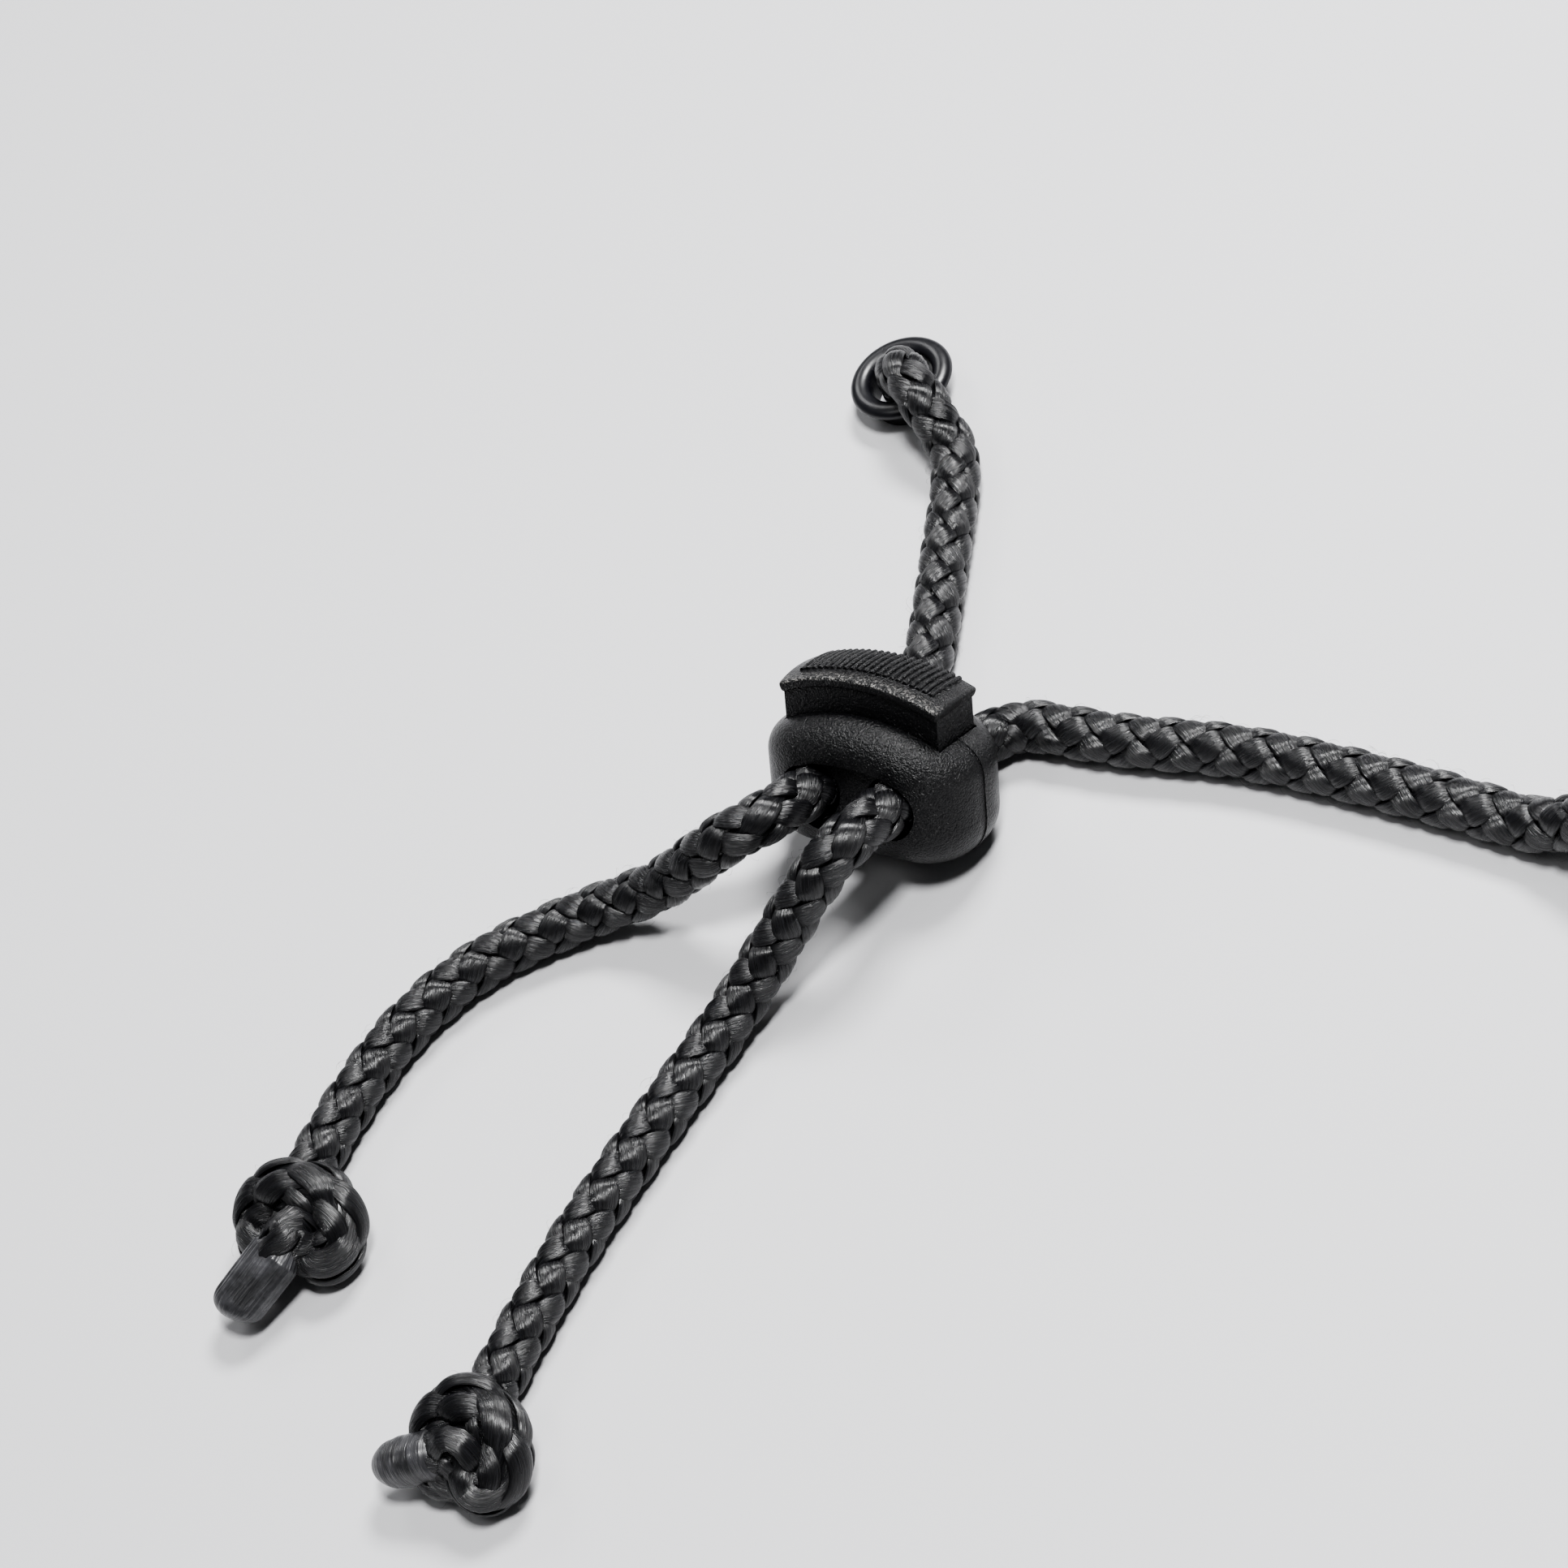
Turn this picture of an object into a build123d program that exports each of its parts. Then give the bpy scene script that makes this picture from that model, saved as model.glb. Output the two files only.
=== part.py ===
from build123d import *
import math
import os

# Cord lock with two cord holes, threaded with one drawcord, mm, +Z up.
# The lock is built upright in its own frame (X across the two holes, Y along
# them, Z along the plunger) and then leaned back on its rear bottom edge.

# cord
CORD_D = 4.0              # round braided cord
PINCH_W = 3.9             # the cord where the plunger squeezes it
PINCH_H = 2.75

# housing
BODY_W = 18.0
BODY_T = 10.4
BODY_H = 11.2             # at the middle of the arched top
ARCH_R = 16.0
PLAN_R = 4.7              # rounded ends, seen from above
TOP_R = 2.6
BOTTOM_R = 3.6
HOLE_R = 2.35
HOLE_PITCH = 7.0
HOLE_Z = 5.2
RECESS_DEPTH = 1.0
RECESS_H = 5.6
SLOT_L = 13.9
SLOT_T = 5.1
FLOOR_T = 1.2             # under the slot
SEAM_W = 0.16             # parting line round the middle
SEAM_H = 0.07

# plunger
TRAVEL = 1.8
SIDE_GAP = 0.10           # running fit in the slot, front and back
END_GAP = 0.20
STEM_TOP = 12.4
STEM_BOTTOM = FLOOR_T + TRAVEL + 0.25
CAP_L = 14.4
CAP_T = 5.6
CAP_R = 19.0              # arch of the thumb pad
CAP_TOP = 14.35
CAP_THICK = 1.12
CAP_CROWN_R = 11.7       # the pad falls away to the front and back
RIDGE_PITCH = 0.58
RIDGE_COUNT = 21
RIDGE_T = 4.1
RIDGE_R = 0.2
RIDGE_BACK = 0.62         # the ridges leave a plain strip along the front
CAP_EDGE = 0.3
CAP_END_EDGE = 0.22

# spring in its pocket under the plunger
WIRE_D = 0.4
SPRING_R = 1.65
SPRING_TURNS = 4
POST_R = 0.9
POST_H = 1.0
POCKET_R = 2.0
POCKET_TOP = 4.6

# eyelets
EYE_OD = 8.8
EYE_ID = 5.4
EYE_H = 3.0
ROLL_H = 1.3
BARREL_WALL = 0.35

# knots and melted tips
KNOT_RING_R = 3.2
TIP_R = 1.95

# placement of the lock: leaned back
LEAN = 30.0


def cut_arch(length, depth, radius, top):
    """A solid under an arch along X whose highest point is at z = top."""
    disc = Cylinder(radius, depth, rotation=(90, 0, 0))
    disc = Pos(0, 0, top - radius) * disc
    return disc & (Pos(0, 0, top - radius / 4) * Box(length, depth, radius / 2))


def make_housing():
    plan = RectangleRounded(BODY_W, BODY_T, PLAN_R)
    body = extrude(plan, BODY_H + 1)
    under = Pos(0, 0, BODY_H - ARCH_R) * Cylinder(ARCH_R, 40, rotation=(90, 0, 0))
    body = body & under
    top_edges = body.faces().sort_by(Axis.Z)[-1].edges()
    body = fillet(top_edges, TOP_R)
    body = fillet(body.faces().sort_by(Axis.Z)[0].edges(), BOTTOM_R)
    outline = offset(section(body, section_by=Plane.XZ), SEAM_H)
    body += extrude(outline, SEAM_W / 2, both=True)
    slot = Pos(0, 0, FLOOR_T + BODY_H) * Box(SLOT_L, SLOT_T, 2 * BODY_H)
    body -= slot
    for side in (-1, 1):
        arc = CenterArc((0, -ARCH_R), ARCH_R, 90 - 7.9, 15.8)
        shape = Plane.XZ * (Pos(0, HOLE_Z + 0.1) * SlotArc(arc, RECESS_H))
        recess = extrude(shape, 4, both=True)
        body -= Pos(0, side * (BODY_T / 2 + 4 - RECESS_DEPTH), 0) * recess
    for side in (-1, 1):
        hole = Cylinder(HOLE_R, BODY_T, rotation=(90, 0, 0))
        body -= Pos(side * HOLE_PITCH / 2, 0, HOLE_Z) * hole
    post = Pos(0, 0, FLOOR_T - 0.1) * Cylinder(
        POST_R, POST_H + 0.1, align=(Align.CENTER, Align.CENTER, Align.MIN))
    return body + post


def make_pad():
    """The thumb pad: a crowned strip with round edges, bent along the arch."""
    half = CAP_T / 2
    drop = CAP_CROWN_R - math.sqrt(CAP_CROWN_R ** 2 - half ** 2)
    low = CAP_R - CAP_THICK
    top = ThreePointArc((-half, CAP_R - drop), (0, CAP_R), (half, CAP_R - drop))
    rest = Polyline((half, CAP_R - drop), (half, low), (-half, low), (-half, CAP_R - drop))
    strip = make_face(Plane.YZ * (top + rest))
    strip = fillet(strip.vertices(), CAP_EDGE)
    swing = 2 * math.degrees(math.asin(CAP_L / 2 / CAP_R))
    pad = revolve(Rot(0, -swing / 2, 0) * strip, Axis.Y, swing)
    for side in (0, -1):
        end = pad.faces().filter_by(GeomType.PLANE).sort_by(Axis.X)[side]
        pad = fillet(end.edges(), CAP_END_EDGE)
    return pad


def make_ridge():
    """One ridge over the middle of the pad, bent to its crown."""
    ring = Rot(0, 90, 0) * Torus(CAP_CROWN_R, RIDGE_R)
    ring = Pos(0, 0, CAP_R - CAP_CROWN_R) * ring
    return ring & (Pos(0, RIDGE_BACK, CAP_R) * Box(1, RIDGE_T, 2))


def make_plunger():
    stem_w = SLOT_L - 2 * END_GAP
    stem_t = SLOT_T - 2 * SIDE_GAP
    height = STEM_TOP - STEM_BOTTOM
    centre = CAP_TOP - CAP_R
    stem = Pos(0, 0, STEM_BOTTOM + height / 2) * Box(stem_w, stem_t, height)
    roof = Pos(0, 0, centre) * Cylinder(CAP_R - CAP_THICK / 2, 40, rotation=(90, 0, 0))
    stem = stem & (roof + Pos(0, 0, STEM_BOTTOM) * Box(60, 60, 8))
    web = cut_arch(stem_w, stem_t, CAP_R - 0.4, CAP_TOP - 0.4)
    web = web & (Pos(0, 0, CAP_TOP - 2.5) * Box(stem_w, stem_t, 5))
    plunger = stem + Pos(0, 0, centre) * make_pad() + web
    for side in (-1, 1):
        hole = Cylinder(HOLE_R, CAP_T + 4, rotation=(90, 0, 0))
        plunger -= Pos(side * HOLE_PITCH / 2, 0, HOLE_Z + TRAVEL) * hole
    plunger -= Pos(0, 0, STEM_BOTTOM - 1) * Cylinder(
        POCKET_R, POCKET_TOP - STEM_BOTTOM + 1,
        align=(Align.CENTER, Align.CENTER, Align.MIN))
    ridge = make_ridge()
    for i in range(RIDGE_COUNT):
        angle = (i - (RIDGE_COUNT - 1) / 2) * math.degrees(RIDGE_PITCH / CAP_R)
        plunger += Pos(0, 0, centre) * Rot(0, angle, 0) * ridge
    return plunger


def make_spring():
    low = FLOOR_T + WIRE_D / 2 + 0.02
    high = POCKET_TOP - WIRE_D / 2 - 0.02
    helix = Helix(pitch=(high - low) / SPRING_TURNS, height=high - low, radius=SPRING_R)
    coil = sweep(Plane(helix @ 0, z_dir=helix % 0) * Circle(WIRE_D / 2), path=helix, is_frenet=True)
    return Pos(0, 0, low) * coil


def make_pinch(x):
    half = BODY_T / 2 - RECESS_DEPTH
    mid = HOLE_Z + TRAVEL / 2
    stations = [(-half, HOLE_Z + 0.2, False), (-SLOT_T / 2, mid, True),
                (SLOT_T / 2, mid, True), (half, HOLE_Z + 0.2, False)]
    sections = []
    for y, z, squeezed in stations:
        wide = PINCH_W if squeezed else CORD_D
        tall = PINCH_H if squeezed else CORD_D
        plane = Plane(origin=(x, y, z), x_dir=(1, 0, 0), z_dir=(0, 1, 0))
        sections.append(plane * Ellipse(wide / 2, tall / 2))
    return loft(sections, ruled=True)


upright_housing = make_housing()
upright_plunger = make_plunger()
lean_turn = Rot(-LEAN, 0, 0)
leaned = (lean_turn * Compound([upright_housing, upright_plunger])).bounding_box()
LIFT = -leaned.min.Z
SHIFT = -(leaned.min.Y + leaned.max.Y) / 2


def place(shape):
    """Lean the lock back, stand it on the floor and centre it over the origin."""
    return Pos(0, SHIFT, LIFT) * lean_turn * shape


def at(x, y, z):
    """A point of the upright lock, in the placed frame."""
    c = math.cos(math.radians(LEAN))
    s = math.sin(math.radians(LEAN))
    return (x, y * c + z * s + SHIFT, -y * s + z * c + LIFT)


def route(points):
    """Straight runs joined by tangent arcs; returns the wire and its radii."""
    vectors = [Vector(*p) for p in points]
    radii = []
    for a, b, c in zip(vectors, vectors[1:], vectors[2:]):
        turn = (b - a).get_angle(c - b)
        shorter = min((b - a).length, (c - b).length)
        radii.append(0.45 * shorter / math.tan(math.radians(turn) / 2))
    return FilletPolyline(*vectors, radius=radii), radii


def cord_tube(name, points):
    wire, radii = route(points)
    tube = sweep(Plane(wire @ 0, z_dir=wire % 0) * Circle(CORD_D / 2), path=wire)
    ideal = math.pi * CORD_D ** 2 / 4 * wire.length
    text = " ".join("%.1f" % r for r in radii)
    print("%s length %.1f volume ratio %.4f radii %s" % (name, wire.length, tube.volume / ideal, text))
    return tube


MOUTH = BODY_T / 2 - RECESS_DEPTH
HX = HOLE_PITCH / 2
EXIT_Z = HOLE_Z + 0.2
REST = CORD_D / 2 + 0.05      # height of a cord that lies on the floor

EYELET_LEFT = (-20.2, 38.7)
EYELET_RIGHT = (59.5, 8.1)

# The way into an eyelet: distance from its axis, height.
EYELET_ENTRY = [(11.4, REST), (8.2, 3.8), (5.2, 5.5), (3.0, 5.5), (1.1, 4.4), (0, 2.5), (0, 0.4)]


def into_eyelet(centre, heading):
    """Points over the rim of an eyelet and down into it, along a heading in degrees."""
    c = math.cos(math.radians(heading))
    s = math.sin(math.radians(heading))
    return [(centre[0] - c * d, centre[1] - s * d, z) for d, z in EYELET_ENTRY]


TAIL_LEFT = [
    at(-HX, -MOUTH, EXIT_Z), at(-HX, -MOUTH - 3.2, EXIT_Z),
    (-4.6, -9.3, 10.5), (-7.2, -11.0, 9.6), (-10.6, -12.2, 7.0), (-14.4, -13.4, 4.1),
    (-20.6, -15.8, REST), (-28.3, -23.0, REST), (-31.7, -33.6, REST), (-31.1, -43.4, REST),
]
TAIL_RIGHT = [
    at(HX, -MOUTH, EXIT_Z), at(HX, -MOUTH - 3.2, EXIT_Z),
    (2.7, -9.8, 10.3), (1.0, -12.2, 8.6), (-1.4, -15.6, 5.4), (-4.0, -20.9, REST),
    (-5.6, -32.5, REST), (-6.9, -45.0, REST), (-6.4, -54.8, REST),
]
LEAD_LEFT = [
    at(-HX, MOUTH, EXIT_Z), at(-HX, MOUTH + 3.6, EXIT_Z),
    (-3.6, 11.2, REST), (-8.0, 23.2, REST),
] + into_eyelet(EYELET_LEFT, 143)
LEAD_RIGHT = [
    at(HX, MOUTH, EXIT_Z), at(HX, MOUTH + 2.0, EXIT_Z), (4.5, 7.0, 2.35), (6.7, 8.7, REST),
    (9.9, 8.8, REST), (15.5, 9.0, REST), (24.5, 10.3, REST), (37.0, 9.9, REST),
    (44.5, 9.3, REST),
] + into_eyelet(EYELET_RIGHT, -4)

KNOT_LEFT = (-28.4, -47.3)
KNOT_RIGHT = (-5.3, -59.2)


def make_eyelet(centre):
    inner = EYE_ID / 2
    outer = EYE_OD / 2
    mid = (inner + outer) / 2
    roll = Plane.XZ * (Pos(mid, EYE_H - ROLL_H / 2) * Ellipse((outer - inner) / 2, ROLL_H / 2))
    under = Plane.XZ * (Pos(mid, EYE_H - ROLL_H) * Rectangle(outer - inner + 1, ROLL_H * 0.9))
    barrel = Plane.XZ * (Pos(inner + BARREL_WALL / 2, (EYE_H - ROLL_H / 2) / 2)
                         * Rectangle(BARREL_WALL, EYE_H - ROLL_H / 2))
    ring = revolve(roll - under, Axis.Z) + revolve(barrel, Axis.Z)
    return Pos(centre[0], centre[1], 0) * ring


def make_knot(centre, heading):
    """One turn of cord lying flat with the free end crossing over it."""
    ring = Torus(KNOT_RING_R, CORD_D / 2)
    core = Cylinder(KNOT_RING_R, 2.6)
    over = Pos(0, 0, 2.3) * Cylinder(CORD_D / 2, 4.4, rotation=(0, 90, 0))
    ends = [Pos(x, 0, 2.3) * Sphere(CORD_D / 2) for x in (-2.2, 2.2)]
    knot = ring + core + over + ends
    return Pos(centre[0], centre[1], REST) * Rot(0, 0, heading) * knot


def make_tip(start, end):
    a = Vector(*start)
    b = Vector(*end)
    axis = Plane(origin=a, z_dir=b - a)
    body = axis * Cylinder(TIP_R, (b - a).length, align=(Align.CENTER, Align.CENTER, Align.MIN))
    rim = body.edges().sort_by_distance(b)[0]
    return fillet(rim, 0.8)


nodes = {
    "housing": place(upright_housing),
    "plunger": place(upright_plunger),
    "spring": place(make_spring()),
    "pinch_left": place(make_pinch(-HX)),
    "pinch_right": place(make_pinch(HX)),
    "tail_left": cord_tube("tail_left", TAIL_LEFT),
    "tail_right": cord_tube("tail_right", TAIL_RIGHT),
    "lead_left": cord_tube("lead_left", LEAD_LEFT),
    "lead_right": cord_tube("lead_right", LEAD_RIGHT),
    "eyelet_left": make_eyelet(EYELET_LEFT),
    "eyelet_right": make_eyelet(EYELET_RIGHT),
    "knot_left": make_knot(KNOT_LEFT, 250),
    "knot_right": make_knot(KNOT_RIGHT, 205),
    "tip_left": make_tip((-28.0, -50.0, 4.2), (-29.7, -54.8, 2.4)),
    "tip_right": make_tip((-6.0, -60.3, 4.2), (-11.4, -62.6, 2.6)),
}

os.makedirs("parts", exist_ok=True)
for name, shape in nodes.items():
    solids = shape.solids()
    print(name, "solids", len(solids), "volume %.2f" % shape.volume, shape.bounding_box())
    export_step(shape, "parts/%s.step" % name)
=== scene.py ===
import math

import bpy
import numpy as np
from mathutils import Matrix, Vector


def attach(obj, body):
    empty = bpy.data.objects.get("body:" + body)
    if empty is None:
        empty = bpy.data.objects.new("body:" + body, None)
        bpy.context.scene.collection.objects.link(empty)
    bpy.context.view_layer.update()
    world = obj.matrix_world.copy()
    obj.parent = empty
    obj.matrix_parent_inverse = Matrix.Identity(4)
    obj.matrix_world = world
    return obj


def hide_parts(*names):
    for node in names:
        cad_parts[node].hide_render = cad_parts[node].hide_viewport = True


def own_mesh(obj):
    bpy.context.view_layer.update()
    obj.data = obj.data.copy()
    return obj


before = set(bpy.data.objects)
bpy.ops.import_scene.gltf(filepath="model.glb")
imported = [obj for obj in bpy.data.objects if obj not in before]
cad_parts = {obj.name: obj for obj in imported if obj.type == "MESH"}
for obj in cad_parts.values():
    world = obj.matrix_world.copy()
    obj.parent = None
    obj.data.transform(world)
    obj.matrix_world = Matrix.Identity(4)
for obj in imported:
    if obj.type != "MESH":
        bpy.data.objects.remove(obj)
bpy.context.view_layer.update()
BODY = "lock_and_cord"
MM = 0.001


# ---------------------------------------------------------------- camera
LEAN = math.radians(30)     # how far the lock leans back
CAMERA_ANGLES = (35, 25, 4.3)   # azimuth, elevation and roll about the upright lock
CAMERA_AWAY = 0.300             # metres from its target
CAMERA_TARGET = (0, 0.24, 7.33)
AIM_LEFT, AIM_DOWN = 7.27, 2.12     # how far from the target the camera aims
CAMERA_LENS = 92.2


def lean(v):
    """A direction of the upright lock, in the row frame."""
    c, s = math.cos(LEAN), math.sin(LEAN)
    return Vector((v[0], v[1] * c + v[2] * s, -v[1] * s + v[2] * c))


def add_camera():
    azimuth, elevation, roll = (math.radians(angle) for angle in CAMERA_ANGLES)
    back = lean((math.sin(azimuth) * math.cos(elevation),
                 -math.cos(azimuth) * math.cos(elevation), math.sin(elevation)))
    level = lean((math.cos(azimuth), math.sin(azimuth), 0))
    up = back.cross(level)
    right = level * math.cos(roll) - up * math.sin(roll)
    up = level * math.sin(roll) + up * math.cos(roll)
    target = Vector([v * MM for v in CAMERA_TARGET])
    eye = target + back * CAMERA_AWAY
    # The aim is off the lock, so the lock sits right of the middle of the picture and above it.
    aim = (back * -CAMERA_AWAY - right * AIM_LEFT * MM + up * -AIM_DOWN * MM).normalized()
    right = (right - aim * right.dot(aim)).normalized()
    up = right.cross(aim)
    camera = bpy.data.objects.new("camera", bpy.data.cameras.new("camera"))
    bpy.context.scene.collection.objects.link(camera)
    rows = [[right[i], up[i], -aim[i], eye[i]] for i in range(3)] + [[0, 0, 0, 1]]
    camera.matrix_world = Matrix(rows)
    camera.data.lens = CAMERA_LENS
    camera.data.sensor_width = 36
    camera.data.clip_start = 0.01
    camera.data.clip_end = 20
    bpy.context.scene.camera = camera


add_camera()


# ---------------------------------------------------------------- cord routes
# Lengths are in millimetres unless a comment says otherwise.
CORD_D = 4.0
LAY = 14.7          # length of one full turn of a strand
CARRIERS = 4        # strands each way
REST = 2.05         # height of a cord's middle where it lies on the floor
HX = 3.5            # the cord holes, left and right of the middle
MOUTH = 4.2         # where the holes open, in front and behind
EXIT_Z = 5.4        # height of the holes in the upright lock
PINCH_Y, PINCH_Z = 2.4, 6.1         # the squeezed stretch inside the lock
PINCH_EASE = 1.7                    # how soon it is flattened
PINCH_WIDE, PINCH_TALL = 3.9, 2.75
LIFT = 1.2823       # placement of the leaned lock
SHIFT = -3.1250
BRAID_LOW = 0.02    # nothing in a braid, or in a melted end, is lower than these
TIP_LOW = 0.05


def at(x, y, z):
    """A point of the upright lock, in the row frame."""
    c, s = math.cos(LEAN), math.sin(LEAN)
    return (x, y * c + z * s + SHIFT, -y * s + z * c + LIFT)


EYELET_LEFT = (-20.2, 38.7)
EYELET_RIGHT = (59.5, 8.1)
EYELET_ENTRY = [(11.4, REST), (8.2, 3.8), (5.2, 5.5), (3.0, 5.5), (1.1, 4.4), (0, 2.5), (0, 0.4)]


def into_eyelet(centre, heading):
    """Points that rise over an eyelet's rim and drop through its hole."""
    c = math.cos(math.radians(heading))
    s = math.sin(math.radians(heading))
    return [(centre[0] - c * d, centre[1] - s * d, z) for d, z in EYELET_ENTRY]


TAIL_LEFT = [
    at(-HX, -MOUTH, EXIT_Z), at(-HX, -MOUTH - 3.2, EXIT_Z),
    (-4.6, -9.3, 10.5), (-7.2, -11.0, 9.6), (-10.6, -12.2, 7.0), (-14.4, -13.4, 4.1),
    (-20.6, -15.8, REST), (-28.3, -23.0, REST), (-31.7, -33.6, REST), (-31.1, -43.4, REST),
]
TAIL_RIGHT = [
    at(HX, -MOUTH, EXIT_Z), at(HX, -MOUTH - 3.2, EXIT_Z),
    (2.7, -9.8, 10.3), (1.0, -12.2, 8.6), (-1.4, -15.6, 5.4), (-4.0, -20.9, REST),
    (-5.6, -32.5, REST), (-6.9, -45.0, REST), (-6.4, -54.8, REST),
]
LEAD_LEFT = [
    at(-HX, MOUTH, EXIT_Z), at(-HX, MOUTH + 3.6, EXIT_Z),
    (-3.6, 11.2, REST), (-8.0, 23.2, REST),
] + into_eyelet(EYELET_LEFT, 143)
LEAD_RIGHT = [
    at(HX, MOUTH, EXIT_Z), at(HX, MOUTH + 2.0, EXIT_Z), (4.5, 7.0, 2.35), (6.7, 8.7, REST),
    (9.9, 8.8, REST), (15.5, 9.0, REST), (24.5, 10.3, REST), (37.0, 9.9, REST),
    (44.5, 9.3, REST),
] + into_eyelet(EYELET_RIGHT, -4)


def read_route(points, name):
    """The smooth line that these control points give, read from a NURBS spline, in mm."""
    curve = bpy.data.curves.new(name, "CURVE")
    curve.dimensions = "3D"
    spline = curve.splines.new("NURBS")
    spline.points.add(len(points) - 1)
    for p, co in zip(spline.points, points):
        p.co = (co[0] * MM, co[1] * MM, co[2] * MM, 1)
    spline.order_u = 3
    spline.use_endpoint_u = True
    spline.resolution_u = 24
    holder = bpy.data.objects.new(name, curve)
    bpy.context.scene.collection.objects.link(holder)
    mesh = bpy.data.meshes.new_from_object(holder)
    line = np.array([v.co[:] for v in mesh.vertices]) / MM
    bpy.data.objects.remove(holder)
    bpy.data.curves.remove(curve)
    bpy.data.meshes.remove(mesh)
    return line


def unit(v):
    """Vectors of length one; a zero vector stays zero."""
    return v / np.maximum(np.linalg.norm(v, axis=-1, keepdims=True), 1e-12)


class Line:
    """A route as an even run of stations with a twist-free frame at each."""

    def __init__(self, line, side, step=0.2):
        gaps = np.linalg.norm(np.diff(line, axis=0), axis=1)
        keep = np.concatenate([[True], gaps > 1e-6])
        line = line[keep]
        gaps = np.linalg.norm(np.diff(line, axis=0), axis=1)
        dist = np.concatenate([[0], np.cumsum(gaps)])
        self.length = dist[-1]
        count = max(8, int(round(self.length / step)) + 1)
        self.s = np.linspace(0, self.length, count)
        self.p = np.stack([np.interp(self.s, dist, line[:, i]) for i in range(3)], axis=1)
        self.t = unit(np.gradient(self.p, self.s, axis=0))
        n = np.zeros_like(self.p)
        side = np.asarray(side, float)
        for i, t in enumerate(self.t):
            side = unit(side - t * side.dot(t))
            n[i] = side
        self.n = n
        self.b = np.cross(self.t, n)


def add_mesh(name, verts, faces, material, uvs=None):
    mesh = bpy.data.meshes.new(name)
    mesh.from_pydata([tuple(v) for v in np.asarray(verts) * MM], [], faces)
    if uvs is not None:
        layer = mesh.uv_layers.new(name="UVMap")
        index = np.empty(len(mesh.loops), dtype=np.int32)
        mesh.loops.foreach_get("vertex_index", index)
        layer.data.foreach_set("uv", np.asarray(uvs, dtype=np.float32)[index].ravel())
    mesh.validate()
    mesh.polygons.foreach_set("use_smooth", [True] * len(mesh.polygons))
    mesh.materials.append(material)
    piece = bpy.data.objects.new(name, mesh)
    bpy.context.scene.collection.objects.link(piece)
    return piece


def tube_faces(stations, ring, start):
    """Quads along a run of rings, closed by one face at each end."""
    faces = []
    for i in range(stations - 1):
        a, b = start + i * ring, start + (i + 1) * ring
        for j in range(ring):
            k = (j + 1) % ring
            faces.append((a + j, b + j, b + k, a + k))
    faces.append(tuple(start + j for j in range(ring)))
    faces.append(tuple(start + (stations - 1) * ring + j for j in range(ring - 1, -1, -1)))
    return faces


UV_PER_MM = 0.1                     # texture run along a strand
CORE_UV, FIBRE_UV = 40, 60.0        # clear of the strands' own places


def wander(rng, s, every, size):
    """A smooth random run of values along s."""
    knots = np.arange(0, s[-1] + 2 * every, every)
    return np.interp(s, knots, rng.normal(0, size, len(knots)))


def ribbon_section():
    """Across a strand: from edge to edge over the top, and back underneath."""
    tops = np.linspace(-1, 1, 19)
    lows = np.linspace(1, -1, 7)[1:-1]
    high = 0.5 * (1 - np.abs(0.985 * tops) ** 2.6) ** 0.6
    low = -0.36 * (1 - lows ** 2) ** 0.5
    return np.concatenate([tops, lows]), np.concatenate([high, low])


def fibres(rng, line, radius, count, verts, faces, uvs):
    """Fine stray filaments, rooted in the braid, that stand a little off it."""
    start = sum(len(v) for v in verts)
    for _ in range(count):
        j = rng.integers(2, len(line.s) - 3)
        a = rng.uniform(0, 2 * np.pi)
        out = math.cos(a) * line.n[j] + math.sin(a) * line.b[j]
        around = np.cross(line.t[j], out)
        run = line.t[j] * rng.choice((-1, 1)) + around * rng.uniform(-0.9, 0.9)
        length = rng.uniform(0.5, 1.5)
        lift = rng.uniform(0.62, 0.92)
        strand = []
        for f in np.linspace(0, 1, 6):
            centre = line.p[j] + out * (radius + lift * math.sin(2.2 * f)) + run * length * f
            thin = 0.013 * (1 - 0.5 * f)
            for k in range(3):
                turn = 2 * np.pi * k / 3
                strand.append(centre + thin * (math.cos(turn) * out + math.sin(turn) * around))
        verts.append(np.array(strand))
        faces += tube_faces(6, 3, start)
        uvs.append(np.full((len(strand), 2), FIBRE_UV))
        start += len(strand)


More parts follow.
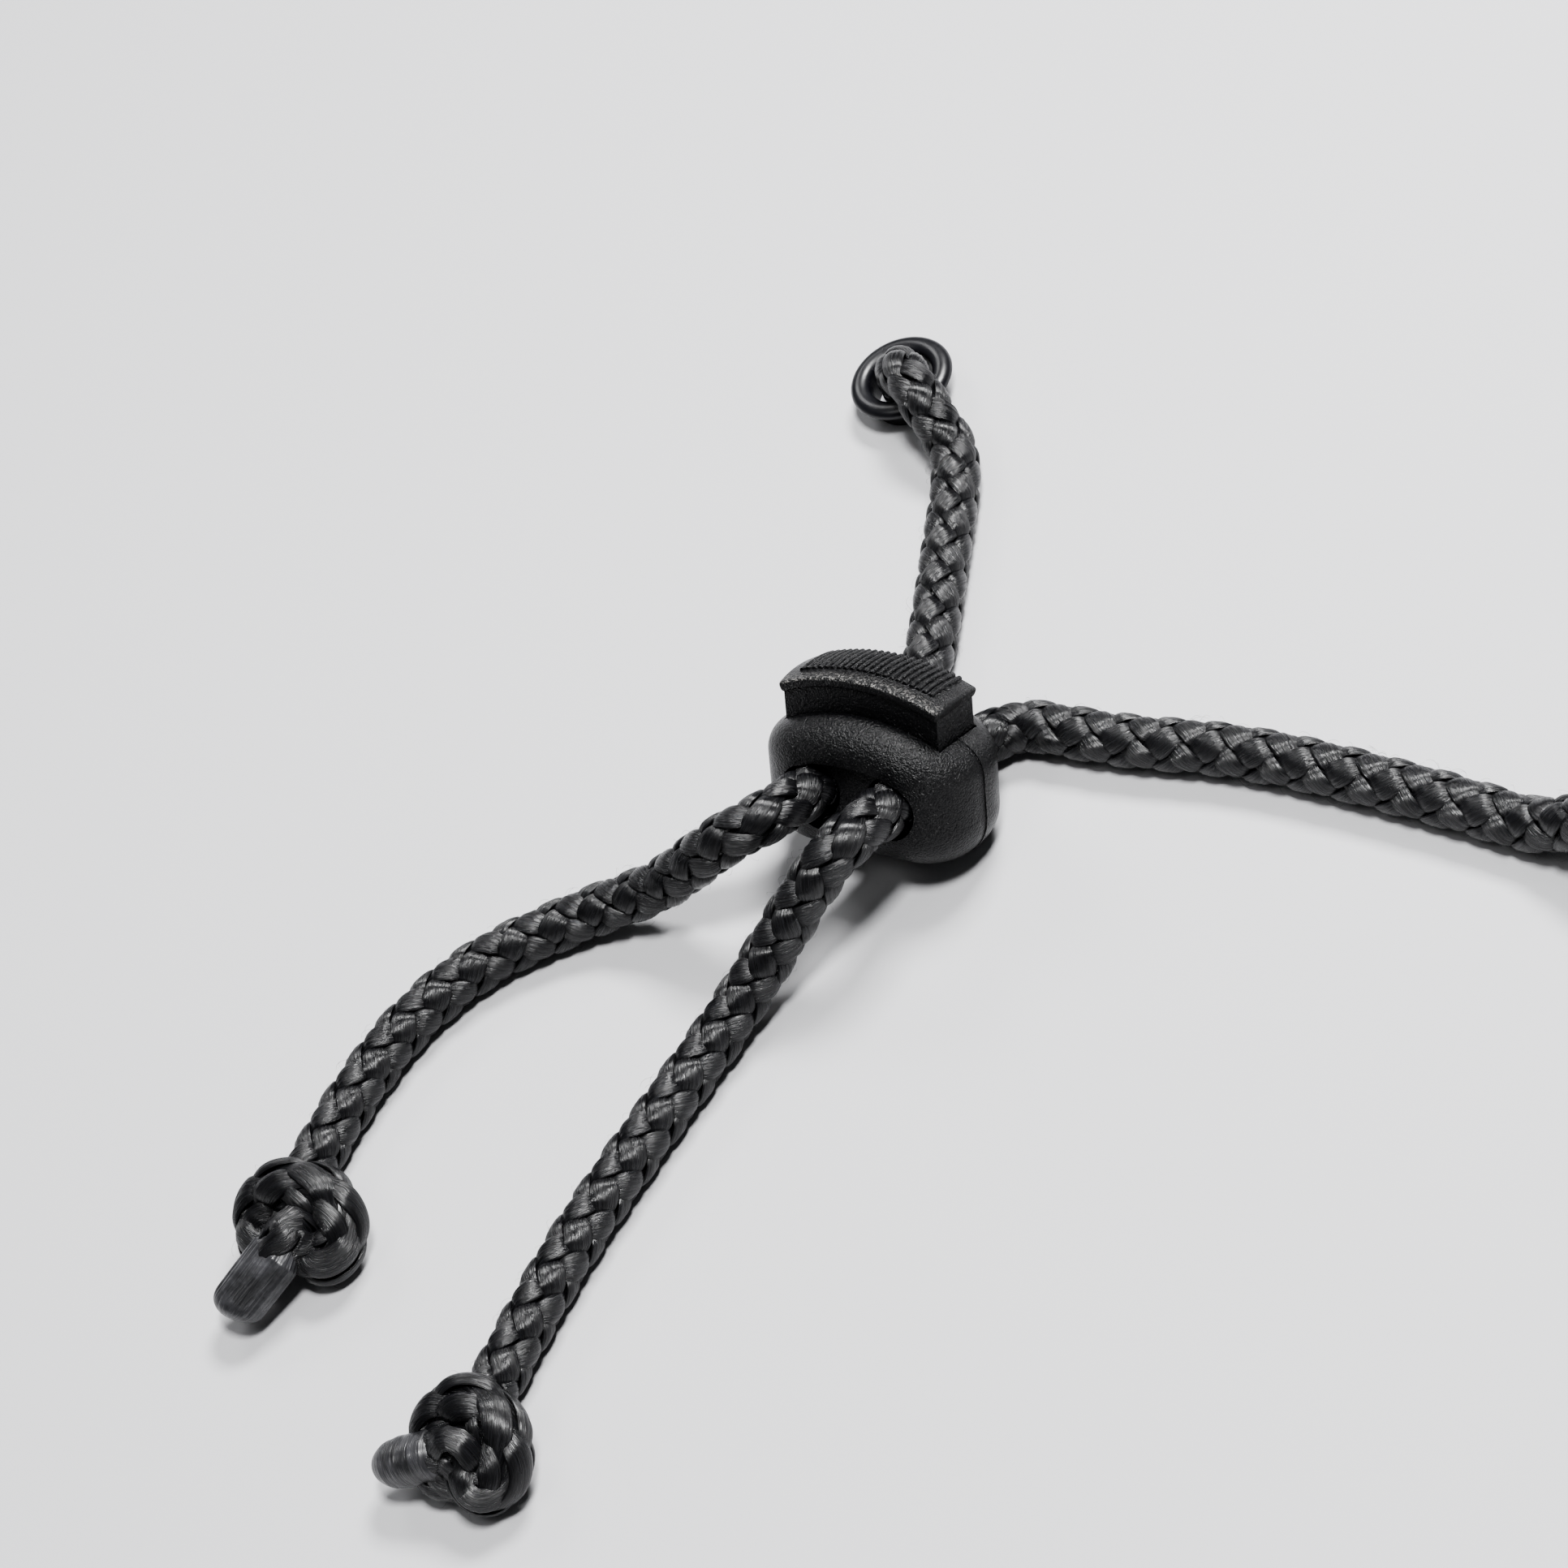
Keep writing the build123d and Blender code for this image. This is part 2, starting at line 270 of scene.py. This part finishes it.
def braid(name, line, material, s0=0.0, wide=None, tall=None, seed=1, hairs=3.5, pull=1.0):
    """A round braid of flat multifilament strands, over one and under one, along a line.

    Under 1, pull draws the strands out along the cord, as in a tight knot.
    """
    rng = np.random.default_rng(seed)
    s = line.s
    wide = np.ones_like(s) if wide is None else wide
    tall = np.ones_like(s) if tall is None else tall
    base_r, swing, thick, broad = 1.53, 0.235, 0.58, 2.16
    u, crown = ribbon_section()
    verts, faces, uvs = [], [], []
    start = 0
    beta = math.atan(2 * np.pi * base_r * pull / LAY)
    turns = (s * pull + s0) / LAY
    wave = np.cos(2 * np.pi * CARRIERS * turns)
    for way in (1, -1):
        for k in range(CARRIERS):
            over = np.tanh(1.7 * way * wave) / math.tanh(1.7)
            theta = way * 2 * np.pi * turns + 2 * np.pi * k / CARRIERS
            theta = theta + wander(rng, s, 1.4, 0.03)
            radius = base_r + swing * over + wander(rng, s, 2.0, 0.012)
            width = broad * (0.85 + 0.15 * over) * (1 + wander(rng, s, 2.2, 0.035))
            grooves = np.stack([wander(rng, s, 2.6, 0.017) for _ in u], axis=1)
            across = width[:, None] * u[None, :] / 2
            ang = theta[:, None] + across * math.cos(beta) / radius[:, None]
            reach = radius[:, None] + crown[None, :] * thick + grooves
            along = -way * math.sin(beta) * across
            v = line.p[:, None, :] \
                + (np.cos(ang) * reach * wide[:, None])[..., None] * line.n[:, None, :] \
                + (np.sin(ang) * reach * tall[:, None])[..., None] * line.b[:, None, :] \
                + along[..., None] * line.t[:, None, :]
            verts.append(v.reshape(-1, 3))
            faces += tube_faces(len(s), len(u), start)
            start += v.shape[0] * v.shape[1]
            place = u * 0.5 + 0.5 + 2 * (k + CARRIERS * (way > 0))
            uvs.append(np.stack([np.tile(place, len(s)),
                                 np.repeat((s + s0) * UV_PER_MM, len(u))], axis=1))
    ring = np.linspace(0, 2 * np.pi, 20, endpoint=False)
    core = base_r - 0.16
    v = line.p[:, None, :] \
        + (np.cos(ring)[None, :] * core * wide[:, None])[..., None] * line.n[:, None, :] \
        + (np.sin(ring)[None, :] * core * tall[:, None])[..., None] * line.b[:, None, :]
    verts.append(v.reshape(-1, 3))
    faces += tube_faces(len(s), len(ring), start)
    uvs.append(np.stack([np.tile(ring * 0.1 + CORE_UV, len(s)),
                         np.repeat(s * UV_PER_MM, len(ring))], axis=1))
    fibres(rng, line, base_r + 0.05, int(hairs * line.length), verts, faces, uvs)
    verts = np.concatenate(verts)
    verts[:, 2] = np.maximum(verts[:, 2], BRAID_LOW)
    return add_mesh(name, verts, faces, material, np.concatenate(uvs))


# ---------------------------------------------------------------- materials
def principled(name, color, roughness, specular=0.5, metallic=0.0):
    m = bpy.data.materials.new(name)
    m.use_nodes = True
    nodes, links = m.node_tree.nodes, m.node_tree.links
    shader = nodes["Principled BSDF"]
    shader.inputs["Base Color"].default_value = (*color, 1)
    shader.inputs["Roughness"].default_value = roughness
    shader.inputs["Specular IOR Level"].default_value = specular
    shader.inputs["Metallic"].default_value = metallic
    return m, nodes, links, shader


def mixed(nodes, links, fac, a, b):
    mix = nodes.new("ShaderNodeMix")
    mix.data_type = "RGBA"
    links.new(fac, mix.inputs["Factor"])
    mix.inputs["A"].default_value = (*a, 1)
    mix.inputs["B"].default_value = (*b, 1)
    return mix.outputs["Result"]


def ranged(nodes, links, value, low, high, out_low, out_high):
    r = nodes.new("ShaderNodeMapRange")
    links.new(value, r.inputs["Value"])
    r.inputs["From Min"].default_value = low
    r.inputs["From Max"].default_value = high
    r.inputs["To Min"].default_value = out_low
    r.inputs["To Max"].default_value = out_high
    return r.outputs["Result"]


def noise(nodes, links, vector, scale, detail=3.0, rough=0.55):
    n = nodes.new("ShaderNodeTexNoise")
    n.inputs["Scale"].default_value = scale
    n.inputs["Detail"].default_value = detail
    n.inputs["Roughness"].default_value = rough
    links.new(vector, n.inputs["Vector"])
    return n.outputs["Fac"]


def product(nodes, links, a, b):
    times = nodes.new("ShaderNodeMath")
    times.operation = "MULTIPLY"
    links.new(a, times.inputs[0])
    links.new(b, times.inputs[1])
    return times.outputs[0]


def bumped(nodes, links, shader, height, strength, distance, before=None):
    b = nodes.new("ShaderNodeBump")
    b.inputs["Strength"].default_value = strength
    b.inputs["Distance"].default_value = distance
    links.new(height, b.inputs["Height"])
    if before is not None:
        links.new(before, b.inputs["Normal"])
    links.new(b.outputs["Normal"], shader.inputs["Normal"])
    return b.outputs["Normal"]


def stretched(nodes, links, scale):
    uv = nodes.new("ShaderNodeUVMap")
    uv.uv_map = "UVMap"
    mapping = nodes.new("ShaderNodeMapping")
    mapping.inputs["Scale"].default_value = (*scale, 1)
    links.new(uv.outputs["UV"], mapping.inputs["Vector"])
    return mapping.outputs["Vector"]


def cord_material():
    """Black silky multifilament: streaks along each strand, light stretched across them."""
    m, nodes, links, shader = principled("braided_cord", (0.004, 0.004, 0.005), 0.34, 0.5)
    filaments = noise(nodes, links, stretched(nodes, links, (17, 2.6)), 1.0, 3.0, 0.75)
    fine = noise(nodes, links, stretched(nodes, links, (48, 5.0)), 1.0, 2.0, 0.6)
    clumps = noise(nodes, links, stretched(nodes, links, (4, 4.0)), 1.0, 2.0, 0.5)
    color = mixed(nodes, links, ranged(nodes, links, filaments, 0.38, 0.66, 0, 1),
                  (0.0012, 0.0012, 0.0015), (0.011, 0.011, 0.0125))
    links.new(color, shader.inputs["Base Color"])
    duller = ranged(nodes, links, filaments, 0.40, 0.62, 1.7, 1.0)
    sheen = ranged(nodes, links, clumps, 0.3, 0.7, 0.15, 0.29)
    links.new(product(nodes, links, duller, sheen), shader.inputs["Roughness"])
    shader.inputs["Anisotropic"].default_value = 0.82
    tangent = nodes.new("ShaderNodeTangent")
    tangent.direction_type = "UV_MAP"
    tangent.uv_map = "UVMap"
    links.new(tangent.outputs["Tangent"], shader.inputs["Tangent"])
    coarse = bumped(nodes, links, shader, filaments, 1.0, 0.00011)
    bumped(nodes, links, shader, fine, 0.8, 0.00005, coarse)
    return m


def melted_material():
    m, nodes, links, shader = principled("melted_cord", (0.01, 0.01, 0.011), 0.34, 0.62)
    streak = noise(nodes, links, stretched(nodes, links, (34, 1.6)), 1.0, 3.0, 0.6)
    blotch = noise(nodes, links, stretched(nodes, links, (3.5, 2.4)), 1.0, 4.0, 0.65)
    color = mixed(nodes, links, ranged(nodes, links, blotch, 0.4, 0.64, 0, 1),
                  (0.005, 0.005, 0.006), (0.045, 0.045, 0.049))
    links.new(color, shader.inputs["Base Color"])
    links.new(ranged(nodes, links, blotch, 0.3, 0.7, 0.46, 0.20), shader.inputs["Roughness"])
    bumped(nodes, links, shader, streak, 0.9, 0.00016)
    return m


def along(nodes, links, vector, direction, offset=0.0):
    """How far a position or a normal goes in a direction of the upright lock."""
    dot = nodes.new("ShaderNodeVectorMath")
    dot.operation = "DOT_PRODUCT"
    links.new(vector, dot.inputs[0])
    dot.inputs[1].default_value = lean(direction)
    add = nodes.new("ShaderNodeMath")
    add.operation = "ADD"
    links.new(dot.outputs["Value"], add.inputs[0])
    add.inputs[1].default_value = -offset
    return add.outputs[0]


EROSION_SCALE, PIT_SCALE, SOFT_SCALE = 7200, 3300, 420
WEAR_HIGHLIGHT_START, WEAR_HIGHLIGHT_FULL = -0.0017, -0.0027    # metres in front of the lock's middle, where the pale strip of wear and painted highlight starts and is full
BLACK_PLASTIC, PALE_GRAIN = (0.0018, 0.0018, 0.0022), (0.0040, 0.0040, 0.0044)
# pale colour of the plunger pad's front edge: partly wear, partly a painted highlight
WORN_AND_HIGHLIGHT_PLASTIC = (0.17, 0.165, 0.157)


def plastic_material(name, rubbed_and_lit=False):
    """Satin moulded plastic with a spark-eroded grain; for the plunger, the pad's front edge is
    paled by worn speckle kept to where it faces up, so it is partly a painted highlight.
    """
    m, nodes, links, shader = principled(name, (0.002, 0.002, 0.0024), 0.36, 0.28)
    coords = nodes.new("ShaderNodeTexCoord")
    erosion = noise(nodes, links, coords.outputs["Object"], EROSION_SCALE, 2.0, 0.5)
    pits = noise(nodes, links, coords.outputs["Object"], PIT_SCALE, 2.0, 0.5)
    soft = noise(nodes, links, coords.outputs["Object"], SOFT_SCALE, 3.0, 0.55)
    speck = ranged(nodes, links, erosion, 0.46, 0.58, 0, 1)
    if rubbed_and_lit:
        place = Vector((0, SHIFT * MM, LIFT * MM)).dot(lean((0, 1, 0)))
        front = along(nodes, links, coords.outputs["Object"], (0, 1, 0), place)
        geometry = nodes.new("ShaderNodeNewGeometry")
        upward = along(nodes, links, geometry.outputs["Normal"], (0, 0, 1))
        strip = ranged(nodes, links, front, WEAR_HIGHLIGHT_START, WEAR_HIGHLIGHT_FULL, 0, 1)
        patchy = ranged(nodes, links, pits, 0.44, 0.58, 0, 1)
        speck = product(nodes, links, speck, patchy)
        # painted highlight: the worn speckle is kept to where the surface faces up, so the edge's
        # top reads as lit from above
        level = ranged(nodes, links, upward, 0.30, 0.75, 0, 1)
        speck = product(nodes, links, speck, product(nodes, links, strip, level))
        color = mixed(nodes, links, speck, BLACK_PLASTIC, WORN_AND_HIGHLIGHT_PLASTIC)
    else:
        color = mixed(nodes, links, speck, BLACK_PLASTIC, PALE_GRAIN)
    links.new(color, shader.inputs["Base Color"])
    links.new(ranged(nodes, links, soft, 0.3, 0.7, 0.25, 0.35), shader.inputs["Roughness"])
    first = bumped(nodes, links, shader, pits, 0.6, 0.00016)
    bumped(nodes, links, shader, erosion, 1.0, 0.00013, first)
    return m


def enamel_material():
    m, nodes, links, shader = principled("eyelet_enamel", (0.003, 0.003, 0.0045), 0.36, 0.35)
    shader.inputs["Coat Weight"].default_value = 0.15
    shader.inputs["Coat Roughness"].default_value = 0.22
    coords = nodes.new("ShaderNodeTexCoord")
    soft = noise(nodes, links, coords.outputs["Object"], 900, 2.0, 0.5)
    links.new(ranged(nodes, links, soft, 0.3, 0.7, 0.32, 0.42), shader.inputs["Roughness"])
    bumped(nodes, links, shader, soft, 0.12, 0.00008)
    return m


def steel_material():
    m, nodes, links, shader = principled("spring_steel", (0.55, 0.55, 0.57), 0.28, 0.5, 1.0)
    coords = nodes.new("ShaderNodeTexCoord")
    drawn = noise(nodes, links, coords.outputs["Object"], 3000, 2.0, 0.5)
    links.new(ranged(nodes, links, drawn, 0.3, 0.7, 0.2, 0.4), shader.inputs["Roughness"])
    bumped(nodes, links, shader, drawn, 0.1, 0.00003)
    return m


cord_mat = cord_material()
melted_mat = melted_material()
housing_mat = plastic_material("housing_plastic")
# the pad's front edge gets worn speckle with a painted highlight on its upward-facing part
plunger_mat = plastic_material("plunger_plastic", rubbed_and_lit=True)
enamel_mat = enamel_material()
steel_mat = steel_material()


def finish_node(node, material):
    """Puts a material in the object's own slots, so the CAD mesh stays as it is."""
    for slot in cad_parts[node].material_slots:
        slot.material = material


finish_node("housing", housing_mat)
finish_node("plunger", plunger_mat)
for node in ("eyelet_left", "eyelet_right"):
    finish_node(node, enamel_mat)


# ---------------------------------------------------------------- cords
SIDE = (1, 0, 0)


def squeeze(line):
    """The stretch inside the lock: round at both mouths, flattened under the plunger."""
    edge = np.minimum(line.s, line.length - line.s)
    k = np.clip(edge / PINCH_EASE, 0, 1)
    k = k * k * (3 - 2 * k)
    return 1 - k * (1 - PINCH_WIDE / CORD_D), 1 - k * (1 - PINCH_TALL / CORD_D)


def make_side(sign, tag, tail, lead, seed):
    """The cord of one side: its tail, the stretch inside the lock, and its lead."""
    pieces = {}
    x = sign * HX
    inner = read_route([at(x, -MOUTH, EXIT_Z), at(x, -PINCH_Y, PINCH_Z),
                        at(x, PINCH_Y, PINCH_Z), at(x, MOUTH, EXIT_Z)], tag)
    pinch = Line(inner, SIDE)
    wide, tall = squeeze(pinch)
    pieces["pinch"] = braid("pinch_" + tag + "_braid", pinch, cord_mat, 0, wide, tall, seed)
    run = Line(read_route(tail, tag), SIDE)
    pieces["tail"] = braid("tail_" + tag + "_braid", run, cord_mat, 0, seed=seed + 1)
    back = Line(read_route(lead, tag), SIDE)
    pieces["lead"] = braid("lead_" + tag + "_braid", back, cord_mat, pinch.length, seed=seed + 2)
    for kind, piece in pieces.items():
        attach(piece, BODY)
        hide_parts(kind + "_" + tag)
    return pieces, run, back


left, left_run, left_back = make_side(-1, "left", TAIL_LEFT, LEAD_LEFT, 11)
right, right_run, right_back = make_side(1, "right", TAIL_RIGHT, LEAD_RIGHT, 31)


KNOT_TURN = math.radians(20)
KNOT_HAIRS, KNOT_PULL = 2.5, 0.62


def make_knot(tag, run, centre, shape, tip_start, tip_end, seed):
    """An overhand knot that carries on from the end of a tail and stops inside the tip."""
    c, s = math.cos(KNOT_TURN), math.sin(KNOT_TURN)
    start = run.p[-1]
    points = [tuple(start), tuple(start + run.t[-1] * 2.2)]
    for x, y, z in shape:
        points.append((centre[0] + x * c - y * s, centre[1] + x * s + y * c, z))
    head, tail = np.array(tip_start), np.array(tip_end)
    points += [tuple(head), tuple(head + 0.3 * (tail - head))]
    line = Line(read_route(points, tag + "_knot"), run.n[-1])
    ease = np.clip(line.s / 3.0, 0, 1)
    shut = np.clip((line.length - line.s) / 2.5, 0, 1)
    wide = (1 + 0.03 * ease) * (0.80 + 0.20 * shut)
    knot = braid("knot_" + tag + "_braid", line, cord_mat, run.length, wide, wide, seed,
                 KNOT_HAIRS, KNOT_PULL)
    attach(knot, BODY)
    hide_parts("knot_" + tag)
    return knot


def make_tip(tag, start, end, wide, tall, cut, across, seed):
    """The end of the cord, melted into a hard stub: ridged, lumpy and cut askew."""
    rng = np.random.default_rng(seed)
    ring, rows = 120, 70
    start, end = np.array(start), np.array(end)
    length = np.linalg.norm(end - start)
    t = (end - start) / length
    n = unit(np.cross(t, (0, 0, 1)))
    b = np.cross(n, t)
    ang = np.linspace(0, 2 * np.pi, ring, endpoint=False)
    waves = (3, 4, 6) if across else (9, 13, 17, 23)
    flutes = sum(rng.uniform(0.4, 1) * np.cos(f * ang + rng.uniform(0, 6)) for f in waves)
    lumps = sum(rng.uniform(0.3, 1) * np.cos(f * ang + rng.uniform(0, 6)) for f in (2, 3))
    blunt = 0.58 if across else 0.78
    verts, uvs = [], []
    for i in range(rows):
        f = i / (rows - 1)
        near_end = max(0.0, (f - blunt) / (1 - blunt))
        near_start = max(0.0, 1 - f / 0.2)
        size = math.sqrt(max(0.0, 1 - near_end ** 2.6))
        size = size * (1 - 0.40 * near_start) * (1 - 0.07 * f)
        size = max(size, 0.03)
        ribs = 0.012 * math.sin(34 * f) * across
        r = size * (1 + 0.014 * flutes * (1 - near_end) + 0.03 * lumps * math.sin(2 + 4 * f) + ribs)
        slant = cut * np.cos(ang - 0.6) * f ** 2.5 * size
        row = start + (np.cos(ang) * r * wide)[:, None] * n + (np.sin(ang) * r * tall)[:, None] * b
        verts.append(row + (length * f + slant)[:, None] * t)
        place = np.stack([ang / (2 * np.pi), np.full(ring, f)], axis=1)
        uvs.append(place[:, ::-1] if across else place)
    verts = np.concatenate(verts)
    verts[:, 2] = np.maximum(verts[:, 2], TIP_LOW)
    tip = add_mesh("tip_" + tag + "_melted", verts, tube_faces(rows, ring, 0), melted_mat,
                   np.concatenate(uvs))
    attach(tip, BODY)
    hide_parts("tip_" + tag)
    return tip


# Points of the knots: right, away and height, about the knot's middle.
SHAPE_LEFT = [
    (-1.2, -0.6, 1.9), (-3.2, -1.4, 1.95), (-4.1, 0.9, 2.6), (-2.8, 2.7, 4.1), (0.2, 2.4, 5.0),
    (3.1, 1.5, 4.4), (4.0, -1.1, 2.9), (2.4, -2.9, 2.1), (0.7, -1.9, 2.7), (0.3, -0.9, 4.5),
]
SHAPE_RIGHT = [
    (0.4, -0.8, 1.9), (-1.7, -2.0, 1.95), (-2.8, 0.2, 2.6), (-1.8, 2.4, 4.1), (0.8, 2.7, 5.0),
    (3.1, 1.1, 4.4), (3.7, -1.6, 2.9), (1.9, -3.2, 2.1), (0.6, -2.0, 2.8), (0.5, -0.6, 4.5),
]
TIP_LEFT = ((-27.8, -49.1, 4.1), (-30.5, -55.6, 2.2))
TIP_RIGHT = ((-5.6, -60.1, 4.0), (-11.5, -62.7, 2.5))
knot_left = make_knot("left", left_run, (-28.4, -47.3), SHAPE_LEFT, *TIP_LEFT, 51)
knot_right = make_knot("right", right_run, (-5.3, -59.2), SHAPE_RIGHT, *TIP_RIGHT, 71)
tip_left = make_tip("left", *TIP_LEFT, 2.35, 1.7, 0.5, False, 56)
tip_right = make_tip("right", *TIP_RIGHT, 1.95, 1.9, 0.2, True, 76)


# ---------------------------------------------------------------- spring
def make_spring():
    """A coil under the plunger."""
    turns, radius, wire, low, high = 4.0, 1.65, 0.2, 1.42, 4.38
    count, ring = 240, 10
    f = np.linspace(0, 1, count)
    ang = 2 * np.pi * turns * f
    centre = np.stack([radius * np.cos(ang), radius * np.sin(ang), low + (high - low) * f],
                      axis=1)
    line = Line(np.array([at(*p) for p in centre]), (0, 0, 1), 0.17)
    a = np.linspace(0, 2 * np.pi, ring, endpoint=False)
    verts = []
    for j in range(len(line.s)):
        ring_out = np.cos(a)[:, None] * line.n[j] + np.sin(a)[:, None] * line.b[j]
        verts.extend(line.p[j] + wire * ring_out)
    coil = add_mesh("spring_coil", verts, tube_faces(len(line.s), ring, 0), steel_mat)
    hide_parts("spring")
    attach(coil, BODY)
    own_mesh(coil)


make_spring()


# ---------------------------------------------------------------- stage
FLOOR_HALF = 2.0    # metres
# Each light's name, place, aim and size in metres, and its power in watts.
LIGHTS = (
    ("key", (0.03, 0.31, 0.43), (0, -0.01, 0), (0.19, 0.12), 5.2),
    ("rim", (0.15, -0.02, 0.47), (0.006, 0, 0.008), (0.10, 0.08), 3.8),
    ("side", (-0.40, 0.24, 0.40), (0, -0.01, 0), (0.18, 0.16), 1.0),
    ("front", (-0.10, -0.20, 0.55), (0, -0.02, 0), (0.22, 0.20), 0.5),
)


def add_stage():
    mesh = bpy.data.meshes.new("floor")
    r = FLOOR_HALF
    mesh.from_pydata([(-r, -r, 0), (r, -r, 0), (r, r, 0), (-r, r, 0)], [], [(0, 1, 2, 3)])
    floor_mat = principled("floor", (0.44, 0.44, 0.45), 0.85, 0.05)[0]
    mesh.materials.append(floor_mat)
    floor = bpy.data.objects.new("floor", mesh)
    bpy.context.scene.collection.objects.link(floor)
    world = bpy.data.worlds.new("studio")
    world.use_nodes = True
    sky = world.node_tree.nodes["Background"]
    sky.inputs["Color"].default_value = (0.95, 0.97, 1.0, 1)
    sky.inputs["Strength"].default_value = 0.12
    bpy.context.scene.world = world


def add_light(name, place, aim, size, power):
    data = bpy.data.lights.new(name, "AREA")
    data.shape = "RECTANGLE"
    data.size = size[0]
    data.size_y = size[1]
    data.energy = power
    lamp = bpy.data.objects.new(name, data)
    lamp.location = place
    lamp.rotation_euler = (Vector(aim) - Vector(place)).to_track_quat("-Z", "Y").to_euler()
    bpy.context.scene.collection.objects.link(lamp)


add_stage()
for light in LIGHTS:
    add_light(*light)
bpy.context.scene.view_settings.look = "AgX - Medium High Contrast"
